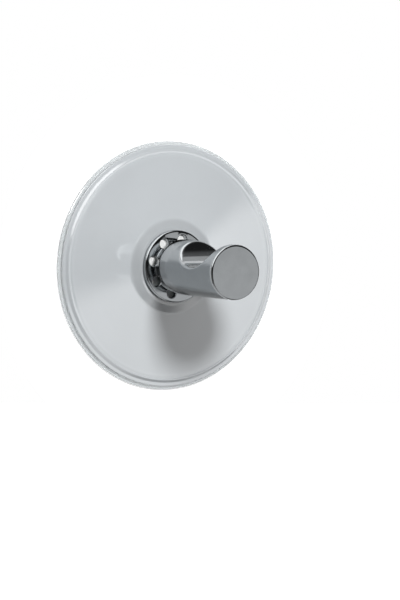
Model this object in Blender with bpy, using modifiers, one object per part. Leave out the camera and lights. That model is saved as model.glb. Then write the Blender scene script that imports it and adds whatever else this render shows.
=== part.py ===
"""Suction hook: a soft vacuum cup under a clear cover dish, drawn tight by a ring nut, with a saddle-cut peg.

Units are metres and +Z is up. The wall is the plane y = 0 and the peg points away from it, along -Y.
Every piece is drawn face up, with its axis along its own +Z, and hangs under the empty wall_axis,
which lays that axis along -Y. So a height below is a distance from the wall.
"""

import math

import bmesh
import bpy

OBJECT_NAME = "suction_hook"

# Clearances and facets
PIECE_GAP = 0.0003
DRAW_CLEARANCE = 0.0003
CUT_MARGIN = 0.002
ROUND_STEPS = 64
HOLE_STEPS = 16
CORNER_STEPS = 3
SHARP_ANGLE = math.radians(30)
MERGE_DISTANCE = 0.00001

# Thread that draws the cup
THREAD_PITCH = 0.00125
DRAW_TURNS = 1.0

# Stud
STUD_RADIUS = 0.004
STUD_FLATS = 0.0066
STUD_GRIP = 0.0086
STUD_TIP_CHAMFER = 0.0006
SPIGOT_RADIUS = 0.0027
SPIGOT_FLARE = 0.0005

# Anchor plate moulded into the cup
ANCHOR_RADIUS = 0.0088
ANCHOR_THICKNESS = 0.0008
ANCHOR_HOLE_RADIUS = 0.0012
ANCHOR_HOLE_COUNT = 6

# Suction cup
CUP_RADIUS = 0.0425
LIP_WIDTH = 0.0012
LIP_THICKNESS = 0.0005
LAND_WIDTH = 0.0070
CHAMBER_HEIGHT = 0.0005
CHAMBER_RAMP = 0.0055
RIM_SEAT_HEIGHT = 0.0007
RIM_SEAT_WIDTH = 0.0020
MEMBRANE_ROOT = 0.0015
HUB_FLOOR_SKIN = 0.0005
HUB_ROOF_SKIN = 0.00055
HUB_WALL = 0.0015

# Cover dish
RIM_BEAD_WIDTH = 0.0030
RIM_BEAD_HEIGHT = 0.00035
RIM_BEAD_DEPTH = 0.0010
RIM_HEIGHT = 0.0026
CONE_RISE = 0.0021
DISH_WALL = 0.0014
BOSS_FOOT_WIDTH = 0.0032
BOSS_RIM_WIDTH = 0.0014
BOSS_WEB = 0.0011
CAVITY_CLEARANCE = 0.0011
CAVITY_FLARE = 0.0024

# Slip washer
WASHER_RADIUS = 0.0115
WASHER_THICKNESS = 0.0004

# Ring nut
NUT_RADIUS = 0.0124
NUT_FLANGE = 0.0015
NUT_EDGE_ROUND = 0.0005
NUT_HUB_RADIUS = 0.0062
NUT_HUB_HEIGHT = 0.0030
PIN_HOLE_RADIUS = 0.0017
PIN_HOLE_CIRCLE = 0.0093
PIN_HOLE_COUNT = 8
PIN_HOLE_TURN = math.radians(77)

# Peg
PEG_RADIUS = 0.0095
PEG_LENGTH = 0.0401
PEG_NECK_RADIUS = 0.0080
PEG_NECK_LENGTH = 0.0021
PEG_BASE_ROUND = 0.0020
PEG_END_ROUND = 0.0007
NOTCH_RADIUS = 0.0130
NOTCH_FROM_END = 0.0150
NOTCH_FLOOR = 0.0012

# Set screw
SCREW_RADIUS = 0.0020
SCREW_RECESS = 0.0011
SCREW_CHAMFER = 0.0004
SCREW_SOCKET = 0.0020
SCREW_SOCKET_DEPTH = 0.0020
SCREW_STEPS = 32

# Radii that follow from the sizes above
cavity_radius = ANCHOR_RADIUS + PIECE_GAP
hub_radius = cavity_radius + HUB_WALL
anchor_hole_circle = (SPIGOT_RADIUS + SPIGOT_FLARE + ANCHOR_RADIUS) / 2
bore_radius = STUD_RADIUS + PIECE_GAP
bore_flats = STUD_FLATS + 2 * PIECE_GAP
dish_radius = CUP_RADIUS - LIP_WIDTH
cone_edge_radius = dish_radius - RIM_BEAD_WIDTH
seat_inner_radius = dish_radius - RIM_SEAT_WIDTH
land_inner_radius = CUP_RADIUS - LAND_WIDTH
chamber_radius = land_inner_radius - CHAMBER_RAMP
washer_seat_radius = WASHER_RADIUS + PIECE_GAP
boss_radius = washer_seat_radius + BOSS_RIM_WIDTH
boss_foot_radius = boss_radius + BOSS_FOOT_WIDTH
boss_cavity_radius = hub_radius + CAVITY_CLEARANCE
neck_bore_radius = NUT_HUB_RADIUS + PIECE_GAP

# Heights above the wall that follow from the sizes above, at rest
draw_travel = THREAD_PITCH * DRAW_TURNS
hub_pocket_floor = CHAMBER_HEIGHT + HUB_FLOOR_SKIN
anchor_base = hub_pocket_floor + PIECE_GAP
anchor_top = anchor_base + ANCHOR_THICKNESS
hub_pocket_roof = anchor_top + PIECE_GAP
hub_top = hub_pocket_roof + HUB_ROOF_SKIN
boss_ceiling = hub_top + draw_travel + DRAW_CLEARANCE
washer_seat = boss_ceiling + BOSS_WEB
washer_base = washer_seat + PIECE_GAP
boss_top = washer_base + WASHER_THICKNESS
nut_base = boss_top + PIECE_GAP
nut_face = nut_base + NUT_FLANGE
nut_hub_top = nut_face + NUT_HUB_HEIGHT
peg_base = nut_face + PIECE_GAP
peg_end = peg_base + PEG_LENGTH
neck_bore_end = nut_hub_top + PIECE_GAP
stud_tip = neck_bore_end + STUD_GRIP
stud_bore_end = stud_tip + PIECE_GAP
notch_height = peg_end - NOTCH_FROM_END
screw_height = (neck_bore_end + stud_tip) / 2
screw_point = STUD_FLATS / 2 + PIECE_GAP
screw_length = PEG_RADIUS - SCREW_RECESS - screw_point
cone_foot_height = RIM_HEIGHT + CONE_RISE
rim_foot_height = RIM_SEAT_HEIGHT + PIECE_GAP
membrane_root_top = CHAMBER_HEIGHT + MEMBRANE_ROOT


def new_collection(name):
    """A collection linked to the scene."""
    collection = bpy.data.collections.new(name)
    bpy.context.scene.collection.children.link(collection)
    return collection


def new_material(name, colour, roughness, metallic, transmission=0.0, alpha=1.0):
    """A Principled material in one flat finish."""
    material = bpy.data.materials.new(name)
    material.use_nodes = True
    shader = material.node_tree.nodes["Principled BSDF"]
    shader.inputs["Base Color"].default_value = (*colour, 1.0)
    shader.inputs["Roughness"].default_value = roughness
    shader.inputs["Metallic"].default_value = metallic
    shader.inputs["Transmission Weight"].default_value = transmission
    shader.inputs["Alpha"].default_value = alpha
    material.diffuse_color = (*colour, alpha)
    return material


def new_empty(name, collection, parent=None):
    """An empty that marks an axis; it sits at the wall, on the hook's axis."""
    empty = bpy.data.objects.new(name, None)
    empty.empty_display_size = PEG_RADIUS
    empty.parent = parent
    collection.objects.link(empty)
    return empty


def new_object(name, mesh, collection, parent, place=(0.0, 0.0, 0.0), material=None):
    """A mesh object hung under an empty."""
    item = bpy.data.objects.new(name, mesh)
    item.parent = parent
    item.location = place
    if material is not None:
        mesh.materials.append(material)
    collection.objects.link(item)
    return item


def mesh_from(bm, name):
    """A mesh made from a bmesh, which is freed."""
    mesh = bpy.data.meshes.new(name)
    bmesh.ops.recalc_face_normals(bm, faces=bm.faces)
    bm.to_mesh(mesh)
    bm.free()
    return mesh


def arc(centre, radii, start, end, steps=CORNER_STEPS):
    """Points along a quarter round or any other arc; angles in degrees from the outward direction."""
    points = []
    for step in range(steps + 1):
        angle = math.radians(start + (end - start) * step / steps)
        points.append((centre[0] + radii[0] * math.cos(angle), centre[1] + radii[1] * math.sin(angle)))
    return points


def turned(name, profile, collection, parent, material, base=0.0, steps=ROUND_STEPS):
    """A body of revolution about +Z. The profile is (radius, height) pairs, down its outer side, and
    closes on itself, or on the axis where its two ends lie there."""
    mesh = bpy.data.meshes.new(name)
    count = len(profile)
    on_axis = profile[0][0] == 0.0 and profile[-1][0] == 0.0
    last_edge = [] if on_axis else [(count - 1, 0)]
    edges = [(index, index + 1) for index in range(count - 1)] + last_edge
    mesh.from_pydata([(radius, 0.0, height) for radius, height in profile], edges, [])
    item = new_object(name, mesh, collection, parent, (0.0, 0.0, base), material)
    screw = item.modifiers.new("turn", "SCREW")
    screw.axis = "Z"
    screw.angle = math.tau
    screw.steps = steps
    screw.render_steps = steps
    screw.use_merge_vertices = True
    screw.merge_threshold = MERGE_DISTANCE
    shade_round(item)
    return item


def shade_round(item):
    """Turn an object's modifiers into its mesh, then shade it smooth between its sharp edges."""
    mesh = bpy.data.meshes.new_from_object(item.evaluated_get(bpy.context.evaluated_depsgraph_get()))
    item.modifiers.clear()
    old_mesh = item.data
    item.data = mesh
    bpy.data.meshes.remove(old_mesh)
    mesh.name = item.name
    mesh.shade_smooth()
    mesh.set_sharp_from_angle(angle=SHARP_ANGLE)


def round_bar(name, radius, length, collection, parent, place, steps=HOLE_STEPS, along="Z"):
    """A plain cylinder from its place outwards along +Z, or centred on its place along X or Y."""
    bm = bmesh.new()
    bmesh.ops.create_cone(
        bm, cap_ends=True, segments=steps, radius1=radius, radius2=radius, depth=length
    )
    if along == "Z":
        bmesh.ops.translate(bm, verts=bm.verts, vec=(0.0, 0.0, length / 2))
    item = new_object(name, mesh_from(bm, name), collection, parent, place)
    if along == "X":
        item.rotation_euler = (0.0, math.pi / 2, 0.0)
    if along == "Y":
        item.rotation_euler = (math.pi / 2, 0.0, 0.0)
    return item


def flatted_bar(name, radius, across, length, collection, parent, base):
    """A round bar with two flats, facing up and down once the hook is on its wall."""
    bm = bmesh.new()
    bmesh.ops.create_cone(
        bm, cap_ends=True, segments=HOLE_STEPS * 2, radius1=radius, radius2=radius, depth=length
    )
    bmesh.ops.translate(bm, verts=bm.verts, vec=(0.0, 0.0, length / 2))
    for side in (1, -1):
        cut = bmesh.ops.bisect_plane(
            bm,
            geom=bm.verts[:] + bm.edges[:] + bm.faces[:],
            dist=MERGE_DISTANCE,
            plane_co=(0.0, side * across / 2, 0.0),
            plane_no=(0.0, side, 0.0),
            clear_outer=True,
        )
        rim = [piece for piece in cut["geom_cut"] if isinstance(piece, bmesh.types.BMEdge)]
        bmesh.ops.edgenet_fill(bm, edges=rim)
    return new_object(name, mesh_from(bm, name), collection, parent, (0.0, 0.0, base))


def box(name, size, collection, parent, place):
    """A plain box centred on its place."""
    bm = bmesh.new()
    bmesh.ops.create_cube(bm, size=1.0)
    bmesh.ops.scale(bm, verts=bm.verts, vec=size)
    return new_object(name, mesh_from(bm, name), collection, parent, place)


def cut_away(item, cutter):
    """Subtract a cutter from a part and keep the cutter as a wire guide."""
    cutter.display_type = "WIRE"
    cutter.hide_render = True
    modifier = item.modifiers.new(cutter.name, "BOOLEAN")
    modifier.operation = "DIFFERENCE"
    modifier.object = cutter


def join_on(item, addition):
    """Unite an added body with a part and keep the addition as a wire guide."""
    addition.display_type = "WIRE"
    addition.hide_render = True
    modifier = item.modifiers.new(addition.name, "BOOLEAN")
    modifier.operation = "UNION"
    modifier.object = addition


def circle_places(radius, count, turn, height):
    """Places spaced evenly round the axis."""
    places = []
    for index in range(count):
        angle = turn + math.tau * index / count
        places.append((radius * math.cos(angle), radius * math.sin(angle), height))
    return places


def cone_height(radius):
    """Height of the dish's outer cone at a radius."""
    share = (cone_edge_radius - radius) / (cone_edge_radius - boss_foot_radius)
    return RIM_HEIGHT + CONE_RISE * share


def suction_cup(parts, cutters, parent, material):
    """The soft cup: a thin lip round the dish, sealing land, membrane, and a hub round the anchor plate."""
    membrane_edge_top = cone_height(cone_edge_radius) - DISH_WALL - PIECE_GAP
    lip_round = LIP_THICKNESS / 2
    profile = [
        (0.0, hub_pocket_floor),
        (cavity_radius, hub_pocket_floor),
        (cavity_radius, hub_pocket_roof),
        (bore_radius, hub_pocket_roof),
        (bore_radius, hub_top),
    ]
    hub_round = HUB_WALL / 2
    profile += arc((hub_radius - hub_round, hub_top - hub_round), (hub_round, hub_round), 90, 0)
    profile += [
        (hub_radius, membrane_root_top),
        (cone_edge_radius, membrane_edge_top),
        (seat_inner_radius, RIM_SEAT_HEIGHT),
        (dish_radius, RIM_SEAT_HEIGHT),
    ]
    profile += arc((CUP_RADIUS - lip_round, lip_round), (lip_round, lip_round), 90, -90, 2 * CORNER_STEPS)
    profile += [
        (land_inner_radius, 0.0),
        (chamber_radius, CHAMBER_HEIGHT),
        (0.0, CHAMBER_HEIGHT),
    ]
    cup = turned("suction_cup", profile, parts, parent, material)
    pillar_length = hub_pocket_roof - hub_pocket_floor + HUB_FLOOR_SKIN
    pillar_radius = ANCHOR_HOLE_RADIUS - PIECE_GAP
    pillar_base = hub_pocket_floor - HUB_FLOOR_SKIN / 2
    for index, place in enumerate(circle_places(anchor_hole_circle, ANCHOR_HOLE_COUNT, 0.0, pillar_base)):
        pillar = round_bar(
            f"rubber_pillar_{index + 1}", pillar_radius, pillar_length, cutters, parent, place
        )
        join_on(cup, pillar)
    return cup


def anchor_plate(parts, cutters, parent, material):
    """The perforated steel plate that the cup is moulded round, countersunk below for the stud's foot."""
    inner = SPIGOT_RADIUS + PIECE_GAP
    sink = inner + SPIGOT_FLARE
    profile = [
        (inner, ANCHOR_THICKNESS),
        (ANCHOR_RADIUS, ANCHOR_THICKNESS),
        (ANCHOR_RADIUS, 0.0),
        (sink, 0.0),
        (inner, SPIGOT_FLARE),
    ]
    plate = turned("anchor_plate", profile, parts, parent, material, anchor_base)
    length = ANCHOR_THICKNESS + 2 * CUT_MARGIN
    base = anchor_base - CUT_MARGIN
    for index, place in enumerate(circle_places(anchor_hole_circle, ANCHOR_HOLE_COUNT, 0.0, base)):
        hole = round_bar(f"anchor_hole_{index + 1}", ANCHOR_HOLE_RADIUS, length, cutters, parent, place)
        cut_away(plate, hole)
    return plate


def draw_stud(parts, cutters, parent, material):
    """The stud: a foot riveted into the anchor plate, a shoulder on it, and a flatted screw shank."""
    shoulder = anchor_top + PIECE_GAP - anchor_base
    length = stud_tip - anchor_base
    profile = [
        (0.0, length),
        (STUD_RADIUS - STUD_TIP_CHAMFER, length),
        (STUD_RADIUS, length - STUD_TIP_CHAMFER),
        (STUD_RADIUS, shoulder),
        (SPIGOT_RADIUS, shoulder),
        (SPIGOT_RADIUS, SPIGOT_FLARE),
        (SPIGOT_RADIUS + SPIGOT_FLARE, 0.0),
        (0.0, 0.0),
    ]
    stud = turned("draw_stud", profile, parts, parent, material, anchor_base)
    depth = STUD_RADIUS
    size = (4 * STUD_RADIUS, depth, length + 2 * CUT_MARGIN)
    for side, label in ((1, "upper"), (-1, "lower")):
        place = (0.0, side * (STUD_FLATS + depth) / 2, anchor_base + length / 2)
        cut_away(stud, box(f"{label}_stud_flat", size, cutters, parent, place))
    return stud


def cover_dish(parts, cutters, parent, material):
    """The clear hard dish that backs the cup: rolled rim, shallow cone and a rounded boss under the nut."""
    profile = [(0.0, washer_seat), (washer_seat_radius, washer_seat), (washer_seat_radius, boss_top)]
    flank = (boss_foot_radius - boss_radius, boss_top - cone_foot_height)
    profile += arc((boss_radius, cone_foot_height), flank, 90, 0, 2 * CORNER_STEPS)
    bead_rounds = (RIM_BEAD_WIDTH / 2, RIM_BEAD_DEPTH)
    bead_centre = (dish_radius - RIM_BEAD_WIDTH / 2, RIM_HEIGHT + RIM_BEAD_HEIGHT - RIM_BEAD_DEPTH)
    bead_start = 180 - math.degrees(math.asin(1 - RIM_BEAD_HEIGHT / RIM_BEAD_DEPTH))
    profile += arc(bead_centre, bead_rounds, bead_start, 0, 3 * CORNER_STEPS)
    profile += [
        (dish_radius, rim_foot_height),
        (seat_inner_radius, rim_foot_height),
        (cone_edge_radius, cone_height(cone_edge_radius) - DISH_WALL),
        (
            boss_cavity_radius + CAVITY_FLARE,
            cone_height(boss_cavity_radius + CAVITY_FLARE) - DISH_WALL,
        ),
        (boss_cavity_radius, boss_ceiling),
        (0.0, boss_ceiling),
    ]
    dish = turned("cover_dish", profile, parts, parent, material)
    length = BOSS_WEB + 2 * CUT_MARGIN
    keyhole = flatted_bar(
        "stud_keyhole", bore_radius, bore_flats, length, cutters, parent, boss_ceiling - CUT_MARGIN
    )
    cut_away(dish, keyhole)
    return dish


def slip_washer(parts, parent, material):
    """The nylon washer that lets the nut turn on the dish; it shows through the nut's pin holes."""
    profile = [
        (bore_radius, WASHER_THICKNESS),
        (WASHER_RADIUS, WASHER_THICKNESS),
        (WASHER_RADIUS, 0.0),
        (bore_radius, 0.0),
    ]
    return turned("slip_washer", profile, parts, parent, material, washer_base)


def ring_nut(parts, cutters, parent, material):
    """The polished ring nut: a flange with pin holes and a threaded hub that hides in the peg's neck."""
    rounds = (NUT_EDGE_ROUND, NUT_EDGE_ROUND)
    hub_top_height = NUT_FLANGE + NUT_HUB_HEIGHT
    profile = [
        (bore_radius, hub_top_height),
        (NUT_HUB_RADIUS, hub_top_height),
        (NUT_HUB_RADIUS, NUT_FLANGE),
    ]
    profile += arc((NUT_RADIUS - NUT_EDGE_ROUND, NUT_FLANGE - NUT_EDGE_ROUND), rounds, 90, 0)
    profile += [(NUT_RADIUS, 0.0), (bore_radius, 0.0)]
    nut = turned("ring_nut", profile, parts, parent, material, nut_base)
    length = NUT_FLANGE + 2 * CUT_MARGIN
    base = nut_base - CUT_MARGIN
    places = circle_places(PIN_HOLE_CIRCLE, PIN_HOLE_COUNT, PIN_HOLE_TURN, base)
    for index, place in enumerate(places):
        hole = round_bar(f"pin_hole_{index + 1}", PIN_HOLE_RADIUS, length, cutters, parent, place)
        cut_away(nut, hole)
    return nut


def peg(parts, cutters, parent, material):
    """The peg: a round bar with a hollow neck over the nut's hub, and a saddle cut across its top."""
    base_corner = (PEG_RADIUS - PEG_NECK_RADIUS, PEG_BASE_ROUND)
    end_rounds = (PEG_END_ROUND, PEG_END_ROUND)
    profile = [(0.0, PEG_LENGTH)]
    profile += arc((PEG_RADIUS - PEG_END_ROUND, PEG_LENGTH - PEG_END_ROUND), end_rounds, 90, 0)
    profile += arc(
        (PEG_NECK_RADIUS, PEG_NECK_LENGTH + PEG_BASE_ROUND), base_corner, 0, -90, 2 * CORNER_STEPS
    )
    profile += [
        (PEG_NECK_RADIUS, 0.0),
        (neck_bore_radius, 0.0),
        (neck_bore_radius, neck_bore_end - peg_base),
        (bore_radius, neck_bore_end - peg_base),
        (bore_radius, stud_bore_end - peg_base),
        (0.0, stud_bore_end - peg_base),
    ]
    bar = turned("peg", profile, parts, parent, material, peg_base)
    notch = round_bar(
        "saddle_notch",
        NOTCH_RADIUS,
        2 * (PEG_RADIUS + CUT_MARGIN),
        cutters,
        parent,
        (0.0, NOTCH_FLOOR + NOTCH_RADIUS, notch_height),
        ROUND_STEPS,
        "X",
    )
    cut_away(bar, notch)
    reach = PEG_RADIUS + CUT_MARGIN
    screw_hole = round_bar(
        "set_screw_hole",
        SCREW_RADIUS + PIECE_GAP,
        reach,
        cutters,
        parent,
        (0.0, -reach / 2, screw_height),
        SCREW_STEPS,
        "Y",
    )
    cut_away(bar, screw_hole)
    return bar


def set_screw(parts, cutters, parent, material):
    """The headless screw, up from below, that locks the peg on the stud's lower flat."""
    profile = [
        (0.0, screw_length),
        (SCREW_RADIUS - SCREW_CHAMFER, screw_length),
        (SCREW_RADIUS, screw_length - SCREW_CHAMFER),
        (SCREW_RADIUS, SCREW_CHAMFER),
        (SCREW_RADIUS - SCREW_CHAMFER, 0.0),
        (0.0, 0.0),
    ]
    screw = turned("set_screw", profile, parts, parent, material, steps=SCREW_STEPS)
    screw.location = (0.0, -screw_point, screw_height)
    screw.rotation_euler = (math.pi / 2, 0.0, 0.0)
    socket_mouth = -screw_point - screw_length
    socket_length = SCREW_SOCKET_DEPTH + CUT_MARGIN
    socket = round_bar(
        "screw_socket",
        SCREW_SOCKET / math.sqrt(3),
        socket_length,
        cutters,
        parent,
        (0.0, socket_mouth + SCREW_SOCKET_DEPTH - socket_length / 2, screw_height),
        6,
        "Y",
    )
    cut_away(screw, socket)
    return screw


def build():
    """Clear the scene and build the whole hook."""
    for item in list(bpy.data.objects):
        bpy.data.objects.remove(item)

    parts = new_collection(OBJECT_NAME)
    cutters = new_collection("cutters")

    soft_clear = new_material("soft_clear", (0.80, 0.83, 0.84), 0.25, 0.0, 0.5, 0.6)
    frosted_clear = new_material("frosted_clear", (0.66, 0.69, 0.71), 0.30, 0.0, 0.3, 0.85)
    nylon = new_material("nylon", (0.80, 0.81, 0.80), 0.45, 0.0)
    plated_steel = new_material("plated_steel", (0.62, 0.62, 0.60), 0.35, 1.0)
    chrome = new_material("chrome", (0.34, 0.35, 0.355), 0.08, 1.0)
    dark_steel = new_material("dark_steel", (0.12, 0.12, 0.13), 0.40, 1.0)

    wall_axis = new_empty("wall_axis", parts)
    wall_axis.rotation_euler = (math.pi / 2, 0.0, 0.0)
    nut_axis = new_empty("ring_turn_axis", parts, wall_axis)
    draw_axis = new_empty("stud_draw_axis", parts, wall_axis)

    suction_cup(parts, cutters, wall_axis, soft_clear)
    cover_dish(parts, cutters, wall_axis, frosted_clear)
    slip_washer(parts, wall_axis, nylon)
    ring_nut(parts, cutters, nut_axis, chrome)
    anchor_plate(parts, cutters, draw_axis, plated_steel)
    draw_stud(parts, cutters, draw_axis, plated_steel)
    peg(parts, cutters, draw_axis, chrome)
    set_screw(parts, cutters, draw_axis, dark_steel)
    bpy.context.view_layer.update()


build()
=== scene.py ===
"""Dresses the suction hook: turned and moulded pieces, their finishes, the wall, the lights and the camera.

Units are metres, +Z is up and the wall is the plane y = 0. Each piece is drawn face up, with its axis
along +Z and its height as the distance from the wall, and is then laid over so that it points along -Y.
"""

import math

import bmesh
import bpy
from mathutils import Matrix, Vector
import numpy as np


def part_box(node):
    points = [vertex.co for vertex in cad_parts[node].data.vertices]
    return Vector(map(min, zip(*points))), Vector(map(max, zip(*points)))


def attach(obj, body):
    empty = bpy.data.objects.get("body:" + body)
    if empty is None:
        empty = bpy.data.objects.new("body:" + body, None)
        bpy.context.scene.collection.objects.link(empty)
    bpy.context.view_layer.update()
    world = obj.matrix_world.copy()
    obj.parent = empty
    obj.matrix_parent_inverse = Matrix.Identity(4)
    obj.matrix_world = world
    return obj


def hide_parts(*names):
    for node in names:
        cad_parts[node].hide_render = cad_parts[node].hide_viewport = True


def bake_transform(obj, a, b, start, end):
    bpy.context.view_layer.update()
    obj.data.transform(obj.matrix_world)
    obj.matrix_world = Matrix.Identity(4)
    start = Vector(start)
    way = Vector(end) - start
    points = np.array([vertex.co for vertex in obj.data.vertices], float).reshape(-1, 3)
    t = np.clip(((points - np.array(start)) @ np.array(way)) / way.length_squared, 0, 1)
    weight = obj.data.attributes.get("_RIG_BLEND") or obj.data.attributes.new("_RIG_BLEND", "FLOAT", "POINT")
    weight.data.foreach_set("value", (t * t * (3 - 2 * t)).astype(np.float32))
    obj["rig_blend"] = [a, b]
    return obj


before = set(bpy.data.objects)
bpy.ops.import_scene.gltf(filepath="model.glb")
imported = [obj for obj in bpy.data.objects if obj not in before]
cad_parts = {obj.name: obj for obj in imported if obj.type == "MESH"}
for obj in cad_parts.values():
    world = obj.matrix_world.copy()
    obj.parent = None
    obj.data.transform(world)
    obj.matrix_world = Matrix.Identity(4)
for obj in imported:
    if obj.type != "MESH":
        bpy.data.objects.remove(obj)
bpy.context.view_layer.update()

bl_info = {
    "name": "Suction Hook",
    "version": (1, 0, 0),
    "blender": (4, 5, 0),
    "location": "3D View > Sidebar > Hook",
    "description": "Builds a wall hook held by a suction cup, with its finishes, wall and light",
    "category": "Add Mesh",
}

# Clearances, small edges, and how finely round shapes are divided
PIECE_GAP = 0.0003
DRAW_CLEARANCE = 0.0003
CUT_MARGIN = 0.002
FINE_ROUND = 0.0001
HOLE_FLARE = 0.0003
MERGE_DISTANCE = 0.000001
SHARP_ANGLE = math.radians(38)
ROUND_STEPS = 192
HOLE_STEPS = 64
CORNER_STEPS = 4
FLANK_STEPS = 16
MEMBRANE_STEPS = 24
SOCKET_SIDES = 6

# How the saddle is pressed into the peg
PEG_STEPS = 320
SADDLE_STEPS = 16
SADDLE_EDGE = 0.0005
SADDLE_PIVOT = 0.003
SADDLE_HALVINGS = 28
SKIN_DEPTH = MERGE_DISTANCE * 10
TOUCHING = MERGE_DISTANCE / 10

# Finishes. Noise seldom leaves its span, so the span is stretched to a pattern's lowest and highest value.
# The marks are those of a lathe: how far apart they lie, and their share of the chrome's haze
NOISE_SPAN = (0.3, 0.7)
GRAIN_DETAIL = 3.0
MARK_DETAIL = 2.0
LATHE_MARK = 0.00012
PLATE_MARK = 0.00015
MARK_SHARE = 0.3
RING_ROUGHNESS = 0.07
PEG_ROUGHNESS = 0.09
# Where the painted shade on the boss and the painted light on the rim fade in
PAINTED_SHADING_EDGE = 0.0004
PAINTED_SHADING_FADE = 3 * PAINTED_SHADING_EDGE
NYLON_TINT = (0.88, 0.89, 0.88)
ZINC_YELLOW = (0.62, 0.61, 0.57, 1.0)
ZINC_BLUE = (0.58, 0.60, 0.64, 1.0)
BLACK_TINT = (0.12, 0.12, 0.13)
PAINT_TINT = (0.80, 0.80, 0.80)
WALL_GRAIN = 0.02
FLOOR_GRAIN = 0.05
WALL_SEEN_THROUGH = 0.95

# The soft light on the pieces: a round patch, given by its direction and by its angle and softness in
# degrees, and where the light from the sides and from behind starts and is full
FILL = ((0.55, -0.65, 0.52), 42, 14)
AROUND = (-0.45, -0.05)

# The tent that glossy pieces mirror. Each pair says where an edge starts and is full, along one part of the
# direction. The panel's upper edge slopes, and the round patches are given as the one above is
PANEL_SLOPE = 0.45
PANEL_EDGE = -0.245
PANEL_SOFTNESS = 0.03
PANEL_FRONT = (0.03, -0.10)
PANEL_LEFT = (-0.12, 0.04)
PANEL_RIGHT = (0.96, 0.80)
PANEL_FOOT = (-0.85, -0.60)
BEHIND_WALL = (0.05, 0.09)
BEHIND_RIGHT = (0.80, 0.60)
CEILING = (0.80, 0.97)
CEILING_LEVEL = 0.5
DARK_CLOTH = 0.03
TENT_PATCHES = {
    "softbox": ((-0.55, -0.35, 0.76), 35, 5),
    "overhead": ((0.05, 0.08, 1.0), 17, 5),
    "side": ((-1.0, 0.0, -0.1), 24, 10),
    "under": ((-0.35, -0.15, -0.93), 30, 8),
    "front": ((-0.46, -0.78, -0.42), 18, 8),
}

# Stage and camera
KEY_PLACE = (-0.0168, -0.150, 0.053)
FLOOR_RADIUS = 6.0
CLIP_START = 0.01
WHITE = (1.0, 1.0, 1.0, 1.0)

# The weights of a piece that bends, and the turn from face up to facing into the room
BLEND_ATTRIBUTE = "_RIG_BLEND"
LAY_DOWN = Matrix.Rotation(math.pi / 2, 4, "X")


def reach(node):
    """How far a solid reaches from the wall."""
    return -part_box(node)[0].y


def half_width(node):
    """The outer radius of a turned solid."""
    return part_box(node)[1].x


def length(name, value, description):
    """A length that a user may change, in metres."""
    return bpy.props.FloatProperty(
        name=name, description=description, default=value, min=0.0, unit="LENGTH", precision=5
    )


def offset(name, value, description):
    """A place along a line in metres, which may be negative."""
    return bpy.props.FloatProperty(name=name, description=description, default=value, unit="LENGTH")


def amount(name, value, description):
    """A brightness, or another number that is never negative."""
    return bpy.props.FloatProperty(name=name, description=description, default=value, min=0.0)


def tally(name, value, most, description):
    """A number of like things."""
    return bpy.props.IntProperty(name=name, description=description, default=value, min=1, max=most)


def colour(name, value, description):
    """A colour that a user may change."""
    return bpy.props.FloatVectorProperty(
        name=name, description=description, default=value, size=3, min=0.0, max=1.0, subtype="COLOR"
    )


def share(name, value, description):
    """A share between nothing and all."""
    return bpy.props.FloatProperty(
        name=name, description=description, default=value, min=0.0, max=1.0, subtype="FACTOR"
    )


def angle(name, value, description):
    """An angle that a user gives in degrees."""
    return bpy.props.FloatProperty(
        name=name, description=description, default=math.radians(value), subtype="ANGLE"
    )


class CupSettings(bpy.types.PropertyGroup):
    """Sizes and colour of the soft suction cup."""

    radius: length("Radius", half_width("suction_cup"), "Outer edge of the soft lip")
    lip_width: length("Lip Width", 0.0012, "How far the lip stands out past the dish")
    lip_thickness: length("Lip Thickness", 0.0005, "Thickness of the lip")
    land_width: length("Land Width", 0.0070, "Width of the flat ring that seals on the wall")
    chamber_height: length("Chamber Height", 0.0005, "Depth of the hollow that is drawn empty")
    chamber_ramp: length("Chamber Ramp", 0.0055, "Width of the slope from the land into the hollow")
    seat_height: length("Seat Height", 0.0007, "Height of the ring that the dish presses on")
    seat_width: length("Seat Width", 0.0020, "Width of the ring that the dish presses on")
    membrane_root: length("Membrane Root", 0.0015, "Thickness of the membrane where it meets the hub")
    hub_floor: length("Hub Floor", 0.0005, "Skin between the plate and the hollow")
    hub_roof: length("Hub Roof", 0.00055, "Skin over the plate")
    hub_wall: length("Hub Wall", 0.0015, "Skin round the plate")
    tint: colour("Tint", (0.68, 0.705, 0.715), "Colour of the soft vinyl")
    clearness: share("Clearness", 0.60, "How much light passes through the vinyl")


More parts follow.
